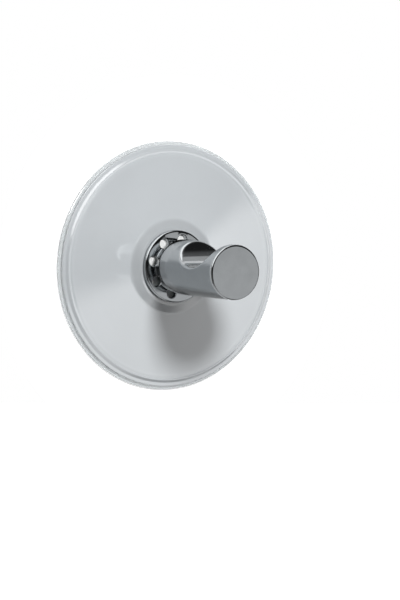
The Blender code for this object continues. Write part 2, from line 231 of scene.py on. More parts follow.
class DishSettings(bpy.types.PropertyGroup):
    """Sizes and colour of the clear dish that backs the cup."""

    rim_width: length("Rim Width", 0.0034, "Width of the rim outside the cone's edge")
    groove_width: length("Groove Width", 0.0008, "Width of the shallow slope down from the cone's edge")
    groove_depth: length("Groove Depth", 0.0002, "How far the slope runs down")
    crest_drop: length("Crest Drop", 0.00006, "How far the rim's crest lies below the cone's edge")
    step_width: length("Step Width", 0.0009, "Width of the step outside the crest")
    step_drop: length("Step Drop", 0.00068, "Height of the step")
    flange_width: length("Flange Width", 0.00115, "Width of the flat edge outside the step")
    flange_drop: length("Flange Drop", 0.00013, "How far the flat edge slopes down")
    rim_round: length("Rim Round", 0.0002, "Rounding of the rim's corners")
    rim_height: length("Rim Height", 0.0026, "Distance of the cone's edge from the wall")
    cone_rise: length("Cone Rise", 0.0021, "How much further out the cone's middle is")
    wall: length("Wall", 0.0014, "Thickness of the cone")
    boss_foot_width: length("Boss Foot Width", 0.0032, "Width of the boss's sloping flank")
    boss_round: length("Boss Round", 0.0005, "Rounding of the boss's edge and foot")
    boss_rim_width: length("Boss Rim Width", 0.0014, "Width of the boss's rim round the washer")
    boss_web: length("Boss Web", 0.0011, "Thickness of the boss under the washer")
    cavity_clearance: length("Cavity Clearance", 0.0011, "Room round the cup's hub")
    cavity_flare: length("Cavity Flare", 0.0024, "How far the boss's hollow widens")
    edge_round: length("Edge Round", 0.00015, "Rounding of the moulded edges")
    tint: colour("Tint", (0.646, 0.680, 0.705), "Colour of the hard plastic")
    # Painted shade: how much darker the boss's base colour is made
    boss_painted_shade: share("Boss Tone", 0.80, "How much darker the boss is, with the plate and the hub behind it")
    # Painted light: how much lighter the rim's base colour is made
    rim_painted_light: amount("Rim Tone", 1.04, "How much lighter the rim is, with the soft seat behind it")
    clearness: share("Clearness", 0.12, "How much light passes through the plastic")


class NutSettings(bpy.types.PropertyGroup):
    """Sizes and colour of the ring nut that draws the cup tight."""

    radius: length("Radius", half_width("ring_nut"), "Outer edge of the flange")
    flange: length("Flange", 0.0015, "Thickness of the flange")
    edge_round: length("Edge Round", 0.0007, "Rounding of the flange's outer edge")
    collar_radius: length("Collar Radius", 0.0086, "Radius of the low collar round the peg's neck")
    collar_height: length("Collar Height", 0.00025, "Height of the low collar over the flange")
    hub_radius: length("Hub Radius", 0.0062, "Radius of the hub inside the peg's neck")
    hub_height: length("Hub Height", 0.0030, "Height of the hub over the flange")
    hole_radius: length("Hole Radius", 0.0017, "Radius of a pin hole")
    hole_circle: length("Hole Circle", 0.0093, "Distance of the pin holes from the axis")
    hole_count: tally("Hole Count", 8, 16, "Number of pin holes")
    hole_turn: angle("Hole Turn", 77.0, "Where the first pin hole lies at rest")
    tint: colour("Tint", (0.335, 0.35, 0.36), "Colour of the polished metal")


class PegSettings(bpy.types.PropertyGroup):
    """Sizes and colour of the peg."""

    radius: length("Radius", half_width("peg"), "Radius of the bar")
    end: length("End", reach("peg"), "Distance of the bar's end from the wall")
    neck_radius: length("Neck Radius", 0.0080, "Radius of the neck behind the ring")
    neck_length: length("Neck Length", 0.0021, "Length of the neck")
    base_round: length("Base Round", 0.0020, "Length of the rounding between neck and bar")
    end_round: length("End Round", 0.0007, "Rounding of the edge of the bar's end")
    notch_radius: length("Saddle Radius", 0.0130, "Radius of the saddle")
    notch_from_end: length("Saddle From End", 0.0150, "Distance of the saddle's middle from the end")
    notch_floor: length("Saddle Floor", 0.0012, "Height of the saddle's floor over the axis")
    rim_round: length("Rim Round", 0.0008, "Rounding of the saddle's rim")
    tint: colour("Tint", (0.335, 0.35, 0.36), "Colour of the polished metal")


class HardwareSettings(bpy.types.PropertyGroup):
    """Sizes of the washer, the stud, its plate and the locking screw."""

    washer_radius: length("Washer Radius", 0.0115, "Radius of the nylon washer")
    washer_thickness: length("Washer Thickness", 0.0004, "Thickness of the nylon washer")
    plate_radius: length("Plate Radius", 0.0088, "Radius of the plate in the cup")
    plate_thickness: length("Plate Thickness", 0.0008, "Thickness of the plate in the cup")
    plate_hole: length("Plate Hole", 0.0012, "Radius of a hole in the plate")
    plate_hole_count: tally("Plate Hole Count", 6, 12, "Number of holes in the plate")
    stud_radius: length("Stud Radius", 0.0040, "Outer radius of the stud's thread")
    stud_flats: length("Stud Flats", 0.0066, "Distance between the stud's two flats")
    stud_grip: length("Stud Grip", 0.0086, "Length of the stud inside the peg")
    tip_chamfer: length("Tip Chamfer", 0.0006, "Chamfer of the stud's tip")
    spigot_radius: length("Spigot Radius", 0.0027, "Radius of the stud's riveted foot")
    spigot_flare: length("Spigot Flare", 0.0005, "How far the riveted foot widens")
    thread_pitch: length("Thread Pitch", 0.00125, "Advance of the thread in one turn")
    screw_radius: length("Screw Radius", 0.0020, "Radius of the locking screw")
    screw_recess: length("Screw Recess", 0.0011, "How deep the screw sits in the peg")
    screw_chamfer: length("Screw Chamfer", 0.0004, "Chamfer of the screw's ends")
    screw_socket: length("Screw Socket", 0.0020, "Distance across the flats of the screw's socket")
    socket_depth: length("Socket Depth", 0.0020, "Depth of the screw's socket")


class StageSettings(bpy.types.PropertyGroup):
    """The wall, the light and the camera."""

    azimuth: angle("Azimuth", -29.6, "Where the camera stands, to the right of straight ahead")
    elevation: angle("Elevation", 3.5, "How high the camera stands")
    distance: length("Distance", 6.0, "Distance of the camera from the hook")
    picture_height: length("Picture Height", 0.2055, "What the picture's height takes in at the wall")
    aim_across: offset("Aim Across", 0.01365, "Sideways place of the picture's middle")
    aim_up: offset("Aim Up", -0.01235, "Height of the picture's middle")
    wall_radius: length("Wall Radius", 0.065, "Radius of the piece of wall that is shown")
    floor_drop: length("Floor Drop", 0.45, "How far the floor lies under the hook")
    key_size: length("Key Size", 0.026, "Width of the main light")
    key_power: bpy.props.FloatProperty(
        name="Key Power", description="Power of the main light", default=9.5, min=0.0, unit="POWER"
    )
    fill: amount("Fill", 0.42, "Brightness of the soft light from the upper right")
    ambient_beside: amount("Ambient Beside", 0.85, "Brightness of the light from the sides and behind")
    softbox: amount("Softbox", 2.4, "Brightness of the softbox that glossy pieces mirror")
    overhead: amount("Overhead", 2.4, "Brightness of the lamp straight above that glossy pieces mirror")
    backlight: amount("Backlight", 0.75, "Brightness of what glossy pieces mirror from behind the wall")
    side: amount("Side", 0.38, "Brightness of the grey card on the left")
    under: amount("Under", 0.9, "Brightness of the white card underneath")
    front: amount("Front", 0.2, "Brightness of the grey card in front to the left")
    wall_glow: amount("Wall Glow", 0.55, "Brightness of the wall without any light on it")
    panel: amount("Panel", 0.94, "Brightness of the panel that the metal mirrors")


def layout(scene):
    """Radii and distances from the wall that follow from the settings, with the hook at rest."""
    cup, dish, nut, peg, parts = (
        scene.hook_cup, scene.hook_dish, scene.hook_nut, scene.hook_peg, scene.hook_hardware
    )
    at = type("Layout", (), {})()
    at.cavity_radius = parts.plate_radius + PIECE_GAP
    at.hub_radius = at.cavity_radius + cup.hub_wall
    at.plate_hole_circle = (parts.spigot_radius + parts.spigot_flare + parts.plate_radius) / 2
    at.bore_radius = parts.stud_radius + PIECE_GAP
    at.dish_radius = cup.radius - cup.lip_width
    at.cone_edge = at.dish_radius - dish.rim_width
    at.seat_inner = at.dish_radius - cup.seat_width
    at.land_inner = cup.radius - cup.land_width
    at.chamber_radius = at.land_inner - cup.chamber_ramp
    at.washer_seat_radius = parts.washer_radius + PIECE_GAP
    at.boss_radius = at.washer_seat_radius + dish.boss_rim_width
    at.boss_foot = at.boss_radius + dish.boss_foot_width
    at.boss_cavity = at.hub_radius + dish.cavity_clearance
    at.neck_bore = nut.hub_radius + PIECE_GAP

    at.pocket_floor = cup.chamber_height + cup.hub_floor
    at.plate_base = at.pocket_floor + PIECE_GAP
    at.plate_top = at.plate_base + parts.plate_thickness
    at.pocket_roof = at.plate_top + PIECE_GAP
    at.hub_top = at.pocket_roof + cup.hub_roof
    at.boss_ceiling = at.hub_top + parts.thread_pitch + DRAW_CLEARANCE
    at.washer_seat = at.boss_ceiling + dish.boss_web
    at.washer_base = at.washer_seat + PIECE_GAP
    at.boss_top = at.washer_base + parts.washer_thickness
    at.nut_base = at.boss_top + PIECE_GAP
    at.nut_face = at.nut_base + nut.flange
    at.nut_hub_top = at.nut_face + nut.hub_height
    at.peg_base = at.nut_face + PIECE_GAP
    at.neck_bore_end = at.nut_hub_top + PIECE_GAP
    at.stud_tip = at.neck_bore_end + parts.stud_grip
    at.stud_bore_end = at.stud_tip + PIECE_GAP
    at.notch = peg.end - peg.notch_from_end
    at.screw = (at.neck_bore_end + at.stud_tip) / 2
    at.screw_point = parts.stud_flats / 2 + PIECE_GAP
    at.screw_mouth = peg.radius - parts.screw_recess
    at.cone_foot = dish.rim_height + dish.cone_rise
    at.rim_foot = cup.seat_height + PIECE_GAP
    at.root_top = cup.chamber_height + cup.membrane_root
    return at


class Section:
    """Half of a turned piece's section, drawn point by point. Across is the radius, up is the distance
    from the wall."""

    def __init__(self, radius, height, rounding=0.0):
        self.bm = bmesh.new()
        self.corners = []
        self.first = bmesh.ops.create_vert(self.bm, co=(radius, 0.0, height))["vert"][0]
        self.last = self.first
        self.mark(rounding)

    def mark(self, rounding):
        """Note that the last point is a corner to round."""
        if rounding:
            self.corners.append((self.last, rounding))

    def line(self, radius, height, rounding=0.0, steps=1):
        """A straight stretch to a point, in one or more steps."""
        start = self.last.co.copy()
        end = Vector((radius, 0.0, height))
        for step in range(1, steps + 1):
            self.last = bmesh.ops.extrude_vert_indiv(self.bm, verts=[self.last])["verts"][0]
            self.last.co = start.lerp(end, step / steps)
        self.mark(rounding)

    def arc(self, centre, radii, start, end, steps=CORNER_STEPS):
        """A line to the start of an arc, then the arc. Angles are in degrees from the outward direction."""
        across, up = radii
        middle = Vector((centre[0], 0.0, centre[1]))
        begin = math.radians(start)
        entry = middle + Vector((across * math.cos(begin), 0.0, across * math.sin(begin)))
        target = middle + Vector((across * math.cos(begin), 0.0, up * math.sin(begin)))
        if (self.last.co - target).length > MERGE_DISTANCE:
            self.line(entry.x, entry.z)
        else:
            self.last.co = entry
        older = set(self.bm.verts) - {self.last}
        swept = bmesh.ops.spin(
            self.bm, geom=[self.last], cent=middle, axis=(0.0, -1.0, 0.0), dvec=(0.0, 0.0, 0.0),
            angle=math.radians(end - start), steps=steps, use_merge=False, use_normal_flip=False,
            use_duplicate=False,
        )
        fresh = [vert for vert in self.bm.verts if vert not in older]
        bmesh.ops.scale(
            self.bm, verts=fresh, vec=(1.0, 1.0, up / across), space=Matrix.Translation(-middle)
        )
        self.last = next(piece for piece in swept["geom_last"] if isinstance(piece, bmesh.types.BMVert))

    def spun(self, steps):
        """The section closed, its corners rounded, and turned once round the axis."""
        bm = self.bm
        if self.first.co.x > 0.0 or self.last.co.x > 0.0:
            bmesh.ops.contextual_create(bm, geom=[self.first, self.last])
        for rounding in sorted({size for _, size in self.corners}):
            bmesh.ops.bevel(
                bm, geom=[vert for vert, size in self.corners if size == rounding], offset=rounding,
                offset_type="OFFSET", segments=CORNER_STEPS, profile=0.5, affect="VERTICES", material=-1,
            )
        bmesh.ops.spin(
            bm, geom=bm.verts[:] + bm.edges[:], cent=(0.0, 0.0, 0.0), axis=(0.0, 0.0, 1.0),
            dvec=(0.0, 0.0, 0.0), angle=math.tau, steps=steps, use_merge=True, use_normal_flip=False,
            use_duplicate=False,
        )
        bmesh.ops.remove_doubles(bm, verts=bm.verts, dist=MERGE_DISTANCE)
        bmesh.ops.recalc_face_normals(bm, faces=bm.faces)
        return bm


def new_piece(name, bm):
    """An object made from a bmesh that was drawn face up; one of the same name is replaced."""
    old = bpy.data.objects.get(name)
    if old is not None:
        bpy.data.objects.remove(old)
    bm.transform(LAY_DOWN)
    mesh = bpy.data.meshes.new(name)
    bm.to_mesh(mesh)
    bm.free()
    item = bpy.data.objects.new(name, mesh)
    bpy.context.scene.collection.objects.link(item)
    return item


def settle(item):
    """Turn an object's modifiers into its mesh."""
    bpy.context.view_layer.update()
    evaluated = item.evaluated_get(bpy.context.evaluated_depsgraph_get())
    mesh = bpy.data.meshes.new_from_object(evaluated)
    item.modifiers.clear()
    old = item.data
    item.data = mesh
    bpy.data.meshes.remove(old)
    mesh.name = item.name


def combine(item, cutters, operation="DIFFERENCE"):
    """Cut tools out of a piece, or unite them with it."""
    for cutter in cutters:
        modifier = item.modifiers.new(cutter.name, "BOOLEAN")
        modifier.operation = operation
        modifier.solver = "EXACT"
        modifier.object = cutter
    settle(item)
    for cutter in cutters:
        bpy.data.objects.remove(cutter)


def polish(item, sharp=SHARP_ANGLE):
    """Shade a piece smooth, with flats that stay flat beside their rounded edges."""
    item.data.shade_smooth()
    item.data.set_sharp_from_angle(angle=sharp)
    weighted = item.modifiers.new("flats", "WEIGHTED_NORMAL")
    weighted.keep_sharp = True
    settle(item)


def dress(item, finish, body, node):
    """Give a piece its finish, and let it ride on a body in place of a solid."""
    item.data.materials.clear()
    item.data.materials.append(finish)
    if body is not None:
        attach(item, body)
    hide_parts(node)


def ring_of(count, radius, turn, height):
    """Matrices that place copies evenly round the axis."""
    return [
        Matrix.Rotation(turn + math.tau * index / count, 4, "Z") @ Matrix.Translation((radius, 0.0, height))
        for index in range(count)
    ]


def round_tools(name, places, radius, bottom, top, flare=0.0, steps=HOLE_STEPS):
    """Round cutting tools at several places, which flare at the top to leave a rounded rim."""
    bm = bmesh.new()
    for place in places:
        section = Section(0.0, bottom)
        section.line(radius, bottom)
        if flare:
            section.arc((radius + flare, top - flare), (flare, flare), 180, 90)
            section.line(radius + flare, top + CUT_MARGIN)
            section.line(0.0, top + CUT_MARGIN)
        else:
            section.line(radius, top)
            section.line(0.0, top)
        tool = section.spun(steps)
        tool.transform(place)
        mesh = bpy.data.meshes.new(name)
        tool.to_mesh(mesh)
        tool.free()
        bm.from_mesh(mesh)
        bpy.data.meshes.remove(mesh)
    return new_piece(name, bm)


def cone_height(scene, radius):
    """Distance from the wall to the dish's outer cone at a radius."""
    dish, at = scene.hook_dish, layout(scene)
    part = (at.cone_edge - radius) / (at.cone_edge - at.boss_foot)
    return dish.rim_height + dish.cone_rise * part


def give_with_draw(item, still_radius, moving_radius):
    """Let the middle of the cup follow the stud while its rim stays: the blend's weights run along the
    radius, from 0 at the still radius to 1 at the moving one."""
    weights = item.data.attributes[BLEND_ATTRIBUTE].data
    for vert in item.data.vertices:
        radius = math.hypot(vert.co.x, vert.co.z)
        part = (still_radius - radius) / (still_radius - moving_radius)
        part = min(1.0, max(0.0, part))
        weights[vert.index].value = part * part * (3.0 - 2.0 * part)


class HOOK_OT_cup(bpy.types.Operator):
    """Build the soft suction cup, moulded round its plate"""

    bl_idname = "hook.build_cup"
    bl_label = "Suction Cup"
    bl_options = {"REGISTER", "UNDO"}

    def execute(self, context):
        scene = context.scene
        cup, dish, parts, at = scene.hook_cup, scene.hook_dish, scene.hook_hardware, layout(scene)
        lip_round = cup.lip_thickness / 2
        hub_round = cup.hub_wall / 2
        section = Section(0.0, at.pocket_floor)
        section.line(at.cavity_radius, at.pocket_floor)
        section.line(at.cavity_radius, at.pocket_roof)
        section.line(at.bore_radius, at.pocket_roof)
        section.line(at.bore_radius, at.hub_top)
        section.arc(
            (at.hub_radius - hub_round, at.hub_top - hub_round), (hub_round, hub_round), 90, 0
        )
        section.line(at.hub_radius, at.root_top)
        section.line(
            at.cone_edge, cone_height(scene, at.cone_edge) - dish.wall - PIECE_GAP, steps=MEMBRANE_STEPS
        )
        section.line(at.seat_inner, cup.seat_height)
        section.line(at.dish_radius, cup.seat_height)
        section.arc(
            (cup.radius - lip_round, lip_round), (lip_round, lip_round), 90, -90, 2 * CORNER_STEPS
        )
        section.line(at.land_inner, 0.0)
        section.line(at.chamber_radius, cup.chamber_height, steps=CORNER_STEPS)
        section.line(0.0, cup.chamber_height, steps=MEMBRANE_STEPS)
        item = new_piece("soft_cup", section.spun(ROUND_STEPS))
        base = at.pocket_floor - cup.hub_floor / 2
        pillars = round_tools(
            "pillars", ring_of(parts.plate_hole_count, at.plate_hole_circle, 0.0, 0.0),
            parts.plate_hole - PIECE_GAP, base, at.pocket_roof + cup.hub_floor / 2, steps=HOLE_STEPS // 2,
        )
        combine(item, [pillars], "UNION")
        polish(item)
        dress(item, soft_vinyl(cup), None, "suction_cup")
        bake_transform(item, "base", "hook", start=(0.0, 0.0, 0.0), end=(0.0, -at.hub_top, 0.0))
        give_with_draw(item, at.chamber_radius, at.hub_radius + cup.hub_wall)
        return {"FINISHED"}


class HOOK_OT_dish(bpy.types.Operator):
    """Build the clear dish: stepped rim, shallow cone and a rounded boss"""

    bl_idname = "hook.build_dish"
    bl_label = "Cover Dish"
    bl_options = {"REGISTER", "UNDO"}

    def execute(self, context):
        scene = context.scene
        dish, parts, at = scene.hook_dish, scene.hook_hardware, layout(scene)
        edge = dish.edge_round
        section = Section(0.0, at.washer_seat)
        section.line(at.washer_seat_radius, at.washer_seat)
        section.line(at.washer_seat_radius, at.boss_top, edge)
        section.line(at.boss_radius, at.boss_top, dish.boss_round)
        section.line(at.boss_foot, at.cone_foot, dish.boss_round)
        crest = at.dish_radius - dish.flange_width - dish.step_width
        crest_height = dish.rim_height - dish.crest_drop
        step_foot = crest_height - dish.step_drop
        section.line(at.cone_edge, dish.rim_height, dish.rim_round)
        section.line(at.cone_edge + dish.groove_width, dish.rim_height - dish.groove_depth, dish.rim_round)
        section.line(crest, crest_height, dish.rim_round)
        section.line(crest + dish.step_width, step_foot, dish.rim_round)
        section.line(at.dish_radius, step_foot - dish.flange_drop, dish.rim_round)
        section.line(at.dish_radius, at.rim_foot, edge)
        section.line(at.seat_inner, at.rim_foot, edge)
        section.line(at.cone_edge, cone_height(scene, at.cone_edge) - dish.wall)
        flare = at.boss_cavity + dish.cavity_flare
        section.line(flare, cone_height(scene, flare) - dish.wall, steps=CORNER_STEPS)
        section.line(at.boss_cavity, at.boss_ceiling)
        section.line(0.0, at.boss_ceiling)
        item = new_piece("dish_shell", section.spun(ROUND_STEPS))
        keyhole = flatted_tool(
            "keyhole", at.bore_radius, parts.stud_flats + 2 * PIECE_GAP,
            at.boss_ceiling - CUT_MARGIN, at.washer_seat + CUT_MARGIN,
        )
        combine(item, [keyhole])
        polish(item)
        dress(item, hard_plastic(dish, at), "base", "cover_dish")
        return {"FINISHED"}


class HOOK_OT_nut(bpy.types.Operator):
    """Build the ring nut: a flange with pin holes and a hub that hides in the peg's neck"""

    bl_idname = "hook.build_nut"
    bl_label = "Ring Nut"
    bl_options = {"REGISTER", "UNDO"}

    def execute(self, context):
        scene = context.scene
        nut, at = scene.hook_nut, layout(scene)
        section = Section(at.bore_radius, at.nut_hub_top, FINE_ROUND)
        section.line(nut.hub_radius, at.nut_hub_top, 2 * FINE_ROUND)
        collar = nut.collar_radius - nut.collar_height
        section.line(nut.hub_radius, at.nut_face + nut.collar_height)
        section.arc((collar, at.nut_face), (nut.collar_height, nut.collar_height), 90, 0)
        section.arc(
            (nut.radius - nut.edge_round, at.nut_face - nut.edge_round), (nut.edge_round, nut.edge_round),
            90, 0, 2 * CORNER_STEPS,
        )
        section.line(nut.radius, at.nut_base, FINE_ROUND)
        section.line(at.bore_radius, at.nut_base, FINE_ROUND)
        item = new_piece("pin_ring", section.spun(ROUND_STEPS))
        holes = round_tools(
            "holes", ring_of(nut.hole_count, nut.hole_circle, nut.hole_turn, 0.0), nut.hole_radius,
            at.nut_base - CUT_MARGIN, at.nut_face, HOLE_FLARE,
        )
        combine(item, [holes])
        polish(item)
        chrome = polished_chrome("ring_chrome", nut.tint, RING_ROUGHNESS)
        dress(item, chrome, "nut", "ring_nut")
        return {"FINISHED"}


def rounded_cut(height, up, across_square, centre_up, peg, notch):
    """How deep a point lies in the peg, whose side and saddle meet in a rounded rim; negative outside."""
    side = peg.radius - math.sqrt(across_square + up * up)
    saddle = math.hypot(height - notch, up - centre_up) - peg.notch_radius
    in_side, in_saddle = peg.rim_round - side, peg.rim_round - saddle
    if in_side > 0.0 and in_saddle > 0.0:
        return peg.rim_round - math.hypot(in_side, in_saddle)
    return min(side, saddle)


def sink_saddle(bm, peg, notch):
    """Press the saddle into a turned peg: points over the saddle move straight towards a line under it
    until they meet the saddle or its rounded rim."""
    centre_up = peg.notch_floor + peg.notch_radius
    pivot = Vector((0.0, -SADDLE_PIVOT, 0.0))
    for vert in bm.verts:
        if abs(vert.co.z - notch) > peg.notch_radius or vert.co.y < pivot.y:
            continue
        if math.hypot(vert.co.x, vert.co.y) < peg.radius - SKIN_DEPTH:
            continue
        across, up, height = vert.co.x, vert.co.y - pivot.y, vert.co.z
        if rounded_cut(height, vert.co.y, across * across, centre_up, peg, notch) > -TOUCHING:
            continue
        near, far = 0.0, 1.0
        for _ in range(SADDLE_HALVINGS):
            half = (near + far) / 2
            point_up = pivot.y + up * half
            if rounded_cut(height, point_up, (across * half) ** 2, centre_up, peg, notch) > 0.0:
                near = half
            else:
                far = half
        vert.co = (across * near, pivot.y + up * near, height)


def screw_place(at):
    """Where the locking screw sits, in the peg's underside once the hook is on its wall."""
    return Matrix.Translation((0.0, 0.0, at.screw)) @ Matrix.Rotation(math.pi / 2, 4, "X")


class HOOK_OT_peg(bpy.types.Operator):
    """Build the peg: a round bar with a hollow neck and a saddle across its top"""

    bl_idname = "hook.build_peg"
    bl_label = "Peg"
    bl_options = {"REGISTER", "UNDO"}

    def execute(self, context):
        scene = context.scene
        peg, parts, at = scene.hook_peg, scene.hook_hardware, layout(scene)
        section = Section(0.0, peg.end)
        section.arc(
            (peg.radius - peg.end_round, peg.end - peg.end_round), (peg.end_round, peg.end_round), 90, 0,
            2 * CORNER_STEPS,
        )
        lip = math.sqrt(peg.notch_radius**2 - (peg.notch_floor + peg.notch_radius - peg.radius) ** 2)
        top, bottom = at.notch + lip, at.notch - lip
        base_top = at.peg_base + peg.neck_length + peg.base_round
        # Down the bar: the steps are finest at the two ends of the saddle, where its rims are
        for height, steps in (
            (top + SADDLE_EDGE, 1),
            (top - 2 * SADDLE_EDGE, SADDLE_STEPS),
            (top - 5 * SADDLE_EDGE, SADDLE_STEPS // 2),
            (bottom + 5 * SADDLE_EDGE, 3 * SADDLE_STEPS),
            (bottom + 2 * SADDLE_EDGE, SADDLE_STEPS // 2),
            (bottom - SADDLE_EDGE, SADDLE_STEPS),
            (base_top, SADDLE_STEPS // 2),
        ):
            section.line(peg.radius, height, steps=steps)
        section.arc(
            (peg.neck_radius, base_top), (peg.radius - peg.neck_radius, peg.base_round), 0, -90,
            FLANK_STEPS,
        )
        section.line(peg.neck_radius, at.peg_base, FINE_ROUND)
        section.line(at.neck_bore, at.peg_base, FINE_ROUND)
        section.line(at.neck_bore, at.neck_bore_end)
        section.line(at.bore_radius, at.neck_bore_end)
        section.line(at.bore_radius, at.stud_bore_end)
        section.line(0.0, at.stud_bore_end)
        bm = section.spun(PEG_STEPS)
        sink_saddle(bm, peg, at.notch)
        bmesh.ops.recalc_face_normals(bm, faces=bm.faces)
        item = new_piece("saddle_peg", bm)
        hole = round_tools(
            "screw_hole", [screw_place(at)], parts.screw_radius + PIECE_GAP, 0.0, peg.radius, HOLE_FLARE
        )
        combine(item, [hole])
        polish(item)
        chrome = polished_chrome("peg_chrome", peg.tint, PEG_ROUGHNESS)
        dress(item, chrome, "hook", "peg")
        return {"FINISHED"}


def flatted_tool(name, radius, across, bottom, top):
    """A round tool with two flats, facing up and down once the hook is on its wall."""
    section = Section(0.0, bottom)
    section.line(radius, bottom)
    section.line(radius, top)
    section.line(0.0, top)
    bm = section.spun(HOLE_STEPS)
    flatten(bm, across)
    return new_piece(name, bm)


def flatten(bm, across):
    """Cut two flats, facing up and down once the hook is on its wall."""
    for side in (1.0, -1.0):
        cut = bmesh.ops.bisect_plane(
            bm, geom=bm.verts[:] + bm.edges[:] + bm.faces[:], dist=MERGE_DISTANCE,
            plane_co=(0.0, side * across / 2, 0.0), plane_no=(0.0, side, 0.0), clear_outer=True,
        )
        rim = [piece for piece in cut["geom_cut"] if isinstance(piece, bmesh.types.BMEdge)]
        bmesh.ops.edgenet_fill(bm, edges=rim)
    bmesh.ops.recalc_face_normals(bm, faces=bm.faces)


def build_washer(parts, at):
    """The washer that lets the ring turn on the dish."""
    top = at.washer_base + parts.washer_thickness
    section = Section(at.bore_radius, top, FINE_ROUND)
    section.line(parts.washer_radius, top, FINE_ROUND)
    section.line(parts.washer_radius, at.washer_base, FINE_ROUND)
    section.line(at.bore_radius, at.washer_base, FINE_ROUND)
    item = new_piece("washer_disc", section.spun(ROUND_STEPS))
    polish(item)
    dress(item, moulded_nylon(), "base", "slip_washer")


def build_plate(parts, at):
    """The plate in the cup's hub, with a flared bore for the stud's riveted foot."""
    inner = parts.spigot_radius + PIECE_GAP
    section = Section(inner, at.plate_top)
    section.line(parts.plate_radius, at.plate_top, FINE_ROUND)
    section.line(parts.plate_radius, at.plate_base, FINE_ROUND)
    section.line(inner + parts.spigot_flare, at.plate_base)
    section.line(inner, at.plate_base + parts.spigot_flare)
    item = new_piece("hub_plate", section.spun(ROUND_STEPS))
    holes = round_tools(
        "plate_holes", ring_of(parts.plate_hole_count, at.plate_hole_circle, 0.0, 0.0),
        parts.plate_hole, at.plate_base - CUT_MARGIN, at.plate_top, FINE_ROUND, HOLE_STEPS // 2,
    )
    combine(item, [holes])
    polish(item)
    dress(item, zinc_plate("plate_zinc"), "hook", "anchor_plate")


def build_stud(parts, at):
    """The stud, with two flats along its shank and a flared foot in the plate."""
    shoulder = at.pocket_roof
    section = Section(0.0, at.stud_tip)
    section.line(parts.stud_radius - parts.tip_chamfer, at.stud_tip)
    section.line(parts.stud_radius, at.stud_tip - parts.tip_chamfer)
    section.line(parts.stud_radius, shoulder)
    section.line(parts.spigot_radius, shoulder)
    section.line(parts.spigot_radius, at.plate_base + parts.spigot_flare)
    section.line(parts.spigot_radius + parts.spigot_flare, at.plate_base)
    section.line(0.0, at.plate_base)
    bm = section.spun(HOLE_STEPS)
    flatten(bm, parts.stud_flats)
    item = new_piece("screw_stud", bm)
    polish(item)
    dress(item, zinc_plate("stud_zinc"), "hook", "draw_stud")


def build_screw(parts, at):
    """The headless locking screw, with a six-sided socket."""
    chamfered = parts.screw_radius - parts.screw_chamfer
    section = Section(0.0, at.screw_point)
    section.line(chamfered, at.screw_point)
    section.line(parts.screw_radius, at.screw_point + parts.screw_chamfer)
    section.line(parts.screw_radius, at.screw_mouth - parts.screw_chamfer)
    section.line(chamfered, at.screw_mouth)
    section.line(0.0, at.screw_mouth)
    bm = section.spun(HOLE_STEPS)
    bm.transform(screw_place(at))
    item = new_piece("locking_screw", bm)
    socket = round_tools(
        "socket", [screw_place(at)], parts.screw_socket / math.sqrt(3),
        at.screw_mouth - parts.socket_depth, at.screw_mouth + CUT_MARGIN, steps=SOCKET_SIDES,
    )
    combine(item, [socket])
    polish(item)
    dress(item, black_steel(), "hook", "set_screw")


class HOOK_OT_hardware(bpy.types.Operator):
    """Build the washer, the stud with its plate, and the locking screw"""

    bl_idname = "hook.build_hardware"
    bl_label = "Washer, Stud, Plate and Screw"
    bl_options = {"REGISTER", "UNDO"}

    def execute(self, context):
        scene = context.scene
        parts, at = scene.hook_hardware, layout(scene)
        build_washer(parts, at)
        build_plate(parts, at)
        build_stud(parts, at)
        build_screw(parts, at)
        return {"FINISHED"}


class Graph:
    """A node tree in the making."""

    def __init__(self, tree):
        self.tree = tree

    def add(self, kind, inputs=None, **settings):
        """A node with its settings; each input is a value or another node's socket."""
        node = self.tree.nodes.new(kind)
        for name, value in settings.items():
            setattr(node, name, value)
        for key, value in (inputs or {}).items():
            if isinstance(value, bpy.types.NodeSocket):
                self.tree.links.new(value, node.inputs[key])
            else:
                node.inputs[key].default_value = value
        return node

    def link(self, socket, target):
        """A link from one node's output to another's input."""
        self.tree.links.new(socket, target)

    def math(self, operation, first, second=0.0):
        """A sum, product or other step on two numbers."""
        node = self.add("ShaderNodeMath", {0: first, 1: second}, operation=operation)
        return node.outputs["Value"]

    def ramp(self, value, low, high, start=0.0, end=1.0):
        """A number that goes smoothly from start to end as a value goes from low to high."""
        node = self.add(
            "ShaderNodeMapRange",
            {"Value": value, "From Min": low, "From Max": high, "To Min": start, "To Max": end},
            interpolation_type="SMOOTHSTEP",
        )
        return node.outputs["Result"]

    def blend(self, factor, first, second):
        """A colour between two."""
        node = self.add("ShaderNodeMix", data_type="RGBA")
        for socket, value in ((node.inputs[0], factor), (node.inputs[6], first), (node.inputs[7], second)):
            if isinstance(value, bpy.types.NodeSocket):
                self.tree.links.new(value, socket)
            else:
                socket.default_value = value
        return node.outputs[2]


